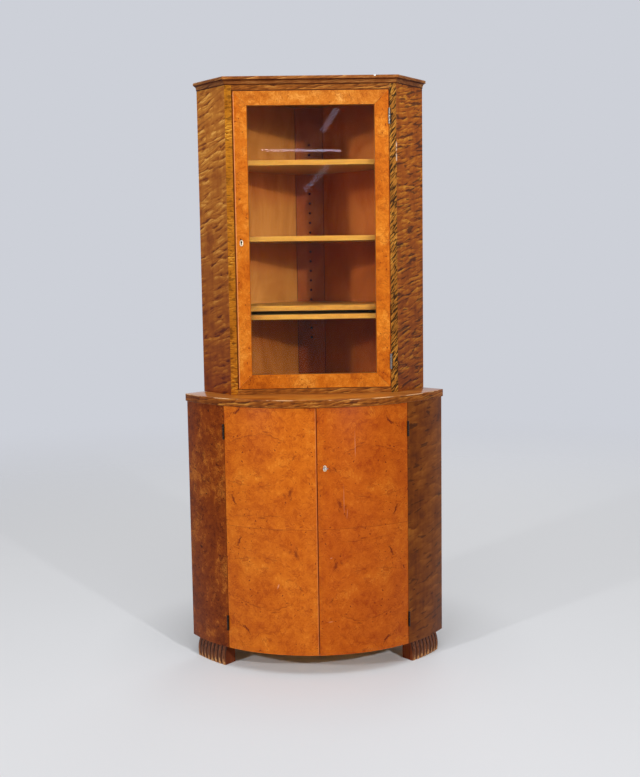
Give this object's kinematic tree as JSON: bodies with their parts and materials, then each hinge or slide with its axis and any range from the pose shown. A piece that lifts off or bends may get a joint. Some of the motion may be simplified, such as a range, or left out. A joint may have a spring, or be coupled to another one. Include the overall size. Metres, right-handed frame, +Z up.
{
  "type": "corner cabinet",
  "caption": "Corner display cabinet with a bow-fronted cupboard base on reeded feet and a glazed, canted upper case with shelves.",
  "frame": {"origin": "on the floor, under the middle of the cabinet's bounding box", "axes": "+Z up, -Y out of the room's corner towards the person in front, +X to that person's right; the corner's two walls are the planes y = 0.3788 - |x|"},
  "size_m": [0.8772, 0.665, 1.95],
  "materials": {
    "base_back_left": "stained plywood",
    "base_back_right": "stained plywood",
    "base_bottom": "raw pine",
    "base_corner_post": "stained plywood",
    "base_door_left": "glossy burr birch veneer",
    "base_door_right": "glossy burr birch veneer",
    "base_escutcheon": "pale brass",
    "base_front_rail": "raw pine",
    "base_hinge_left_lower_door_leaf": "polished steel",
    "base_hinge_left_lower_frame_leaf": "polished steel",
    "base_hinge_left_upper_door_leaf": "polished steel",
    "base_hinge_left_upper_frame_leaf": "polished steel",
    "base_hinge_right_lower_door_leaf": "polished steel",
    "base_hinge_right_lower_frame_leaf": "polished steel",
    "base_hinge_right_upper_door_leaf": "polished steel",
    "base_hinge_right_upper_frame_leaf": "polished steel",
    "base_key": "polished steel",
    "base_lock_bolt": "polished steel",
    "base_lock_case": "polished steel",
    "base_lock_keeper": "polished steel",
    "base_shelf": "raw pine",
    "base_shelf_batten_left": "raw pine",
    "base_shelf_batten_right": "raw pine",
    "base_stile_left": "glossy stained birch veneer",
    "base_stile_right": "glossy stained birch veneer",
    "base_top": "glossy stained birch veneer",
    "cornice_front": "stained and polished birch",
    "cornice_left": "stained and polished birch",
    "cornice_right": "stained and polished birch",
    "door_glass": "clear window glass",
    "door_rail_bottom": "glossy burr birch veneer",
    "door_rail_top": "glossy burr birch veneer",
    "door_stile_left": "glossy burr birch veneer",
    "door_stile_right": "glossy burr birch veneer",
    "foot_back": "dark stained beech, worn",
    "foot_front_left": "dark stained beech, worn",
    "foot_front_right": "dark stained beech, worn",
    "glazing_bead": "glossy burr birch veneer",
    "slide_bolt": "polished steel",
    "slide_bolt_case": "polished steel",
    "upper_back_left": "stained plywood",
    "upper_back_right": "stained plywood",
    "upper_bottom": "glossy birch veneer",
    "upper_corner_post": "stained plywood",
    "upper_door_stop": "raw pine",
    "upper_escutcheon": "pale brass",
    "upper_hinge_lower_door_leaf": "polished steel",
    "upper_hinge_lower_frame_leaf": "polished steel",
    "upper_hinge_upper_door_leaf": "polished steel",
    "upper_hinge_upper_frame_leaf": "polished steel",
    "upper_lock_bolt": "polished steel",
    "upper_lock_case": "polished steel",
    "upper_shelf_1": "lacquered birch",
    "upper_shelf_2": "lacquered birch",
    "upper_shelf_3": "lacquered birch",
    "upper_shelf_4": "lacquered birch",
    "upper_side_left": "glossy birch veneer",
    "upper_side_right": "glossy birch veneer",
    "upper_top": "glossy birch veneer"
  },
  "bodies": {
    "cabinet": {"base_back_left": "base_back_left", "base_back_right": "base_back_right", "base_bottom": "base_bottom", "base_corner_post": "base_corner_post", "base_front_rail": "base_front_rail", "base_hinge_left_lower_frame_leaf": "base_hinge_left_lower_frame_leaf", "base_hinge_left_upper_frame_leaf": "base_hinge_left_upper_frame_leaf", "base_hinge_right_lower_frame_leaf": "base_hinge_right_lower_frame_leaf", "base_hinge_right_upper_frame_leaf": "base_hinge_right_upper_frame_leaf", "base_shelf": "base_shelf", "base_shelf_batten_left": "base_shelf_batten_left", "base_shelf_batten_right": "base_shelf_batten_right", "base_stile_left": "base_stile_left", "base_stile_right": "base_stile_right", "base_top": "base_top", "cornice_front": "cornice_front", "cornice_left": "cornice_left", "cornice_right": "cornice_right", "foot_back": "foot_back", "foot_front_left": "foot_front_left", "foot_front_right": "foot_front_right", "upper_back_left": "upper_back_left", "upper_back_right": "upper_back_right", "upper_bottom": "upper_bottom", "upper_corner_post": "upper_corner_post", "upper_door_stop": "upper_door_stop", "upper_hinge_lower_frame_leaf": "upper_hinge_lower_frame_leaf", "upper_hinge_upper_frame_leaf": "upper_hinge_upper_frame_leaf", "upper_shelf_1": "upper_shelf_1", "upper_shelf_2": "upper_shelf_2", "upper_shelf_3": "upper_shelf_3", "upper_shelf_4": "upper_shelf_4", "upper_side_left": "upper_side_left", "upper_side_right": "upper_side_right", "upper_top": "upper_top"},
    "upper_door": {"door_stile_left": "door_stile_left", "door_stile_right": "door_stile_right", "door_rail_bottom": "door_rail_bottom", "door_rail_top": "door_rail_top", "door_glass": "door_glass", "glazing_bead": "glazing_bead", "upper_hinge_lower_door_leaf": "upper_hinge_lower_door_leaf", "upper_hinge_upper_door_leaf": "upper_hinge_upper_door_leaf", "upper_lock_case": "upper_lock_case", "upper_escutcheon": "upper_escutcheon"},
    "upper_lock_bolt": {"upper_lock_bolt": "upper_lock_bolt"},
    "base_door_left": {"base_door_left": "base_door_left", "base_hinge_left_lower_door_leaf": "base_hinge_left_lower_door_leaf", "base_hinge_left_upper_door_leaf": "base_hinge_left_upper_door_leaf", "base_lock_keeper": "base_lock_keeper", "slide_bolt_case": "slide_bolt_case"},
    "slide_bolt": {"slide_bolt": "slide_bolt"},
    "base_door_right": {"base_door_right": "base_door_right", "base_hinge_right_lower_door_leaf": "base_hinge_right_lower_door_leaf", "base_hinge_right_upper_door_leaf": "base_hinge_right_upper_door_leaf", "base_lock_case": "base_lock_case", "base_escutcheon": "base_escutcheon"},
    "base_lock_bolt": {"base_lock_bolt": "base_lock_bolt"},
    "base_key": {"base_key": "base_key"}
  },
  "joints": [
    {"name": "upper_door_hinge", "type": "hinge", "parent": "cabinet", "child": "upper_door", "pos_m": [0.25561, -0.13496, 1.41925], "axis": [0, 0, 1], "range_deg": [0, 120]},
    {"name": "upper_lock_bolt_slide", "type": "slide", "parent": "upper_door", "child": "upper_lock_bolt", "axis": [-1, 0, 0], "range_m": [0, 0.008]},
    {"name": "base_door_left_hinge", "type": "hinge", "parent": "cabinet", "child": "base_door_left", "pos_m": [-0.30428, -0.20564, 0.478], "axis": [0, 0, -1], "range_deg": [0, 110]},
    {"name": "slide_bolt_slide", "type": "slide", "parent": "base_door_left", "child": "slide_bolt", "axis": [0, 0, 1], "range_m": [0, 0.012]},
    {"name": "base_door_right_hinge", "type": "hinge", "parent": "cabinet", "child": "base_door_right", "pos_m": [0.30428, -0.20564, 0.478], "axis": [0, 0, 1], "range_deg": [0, 110]},
    {"name": "base_key_turn", "type": "hinge", "parent": "base_door_right", "child": "base_key", "pos_m": [0.02401, -0.28257, 0.6945], "axis": [0.0496, -0.9988, 0], "range_deg": [0, 90]},
    {"name": "base_lock_bolt_slide", "type": "slide", "parent": "base_door_right", "child": "base_lock_bolt", "axis": [-0.9988, -0.0496, 0], "range_m": [0, 0.008]}
  ],
  "couplings": [
    {"joint": "base_lock_bolt_slide", "follows": "base_key_turn", "m_per_rad": 0.005092}
  ]
}
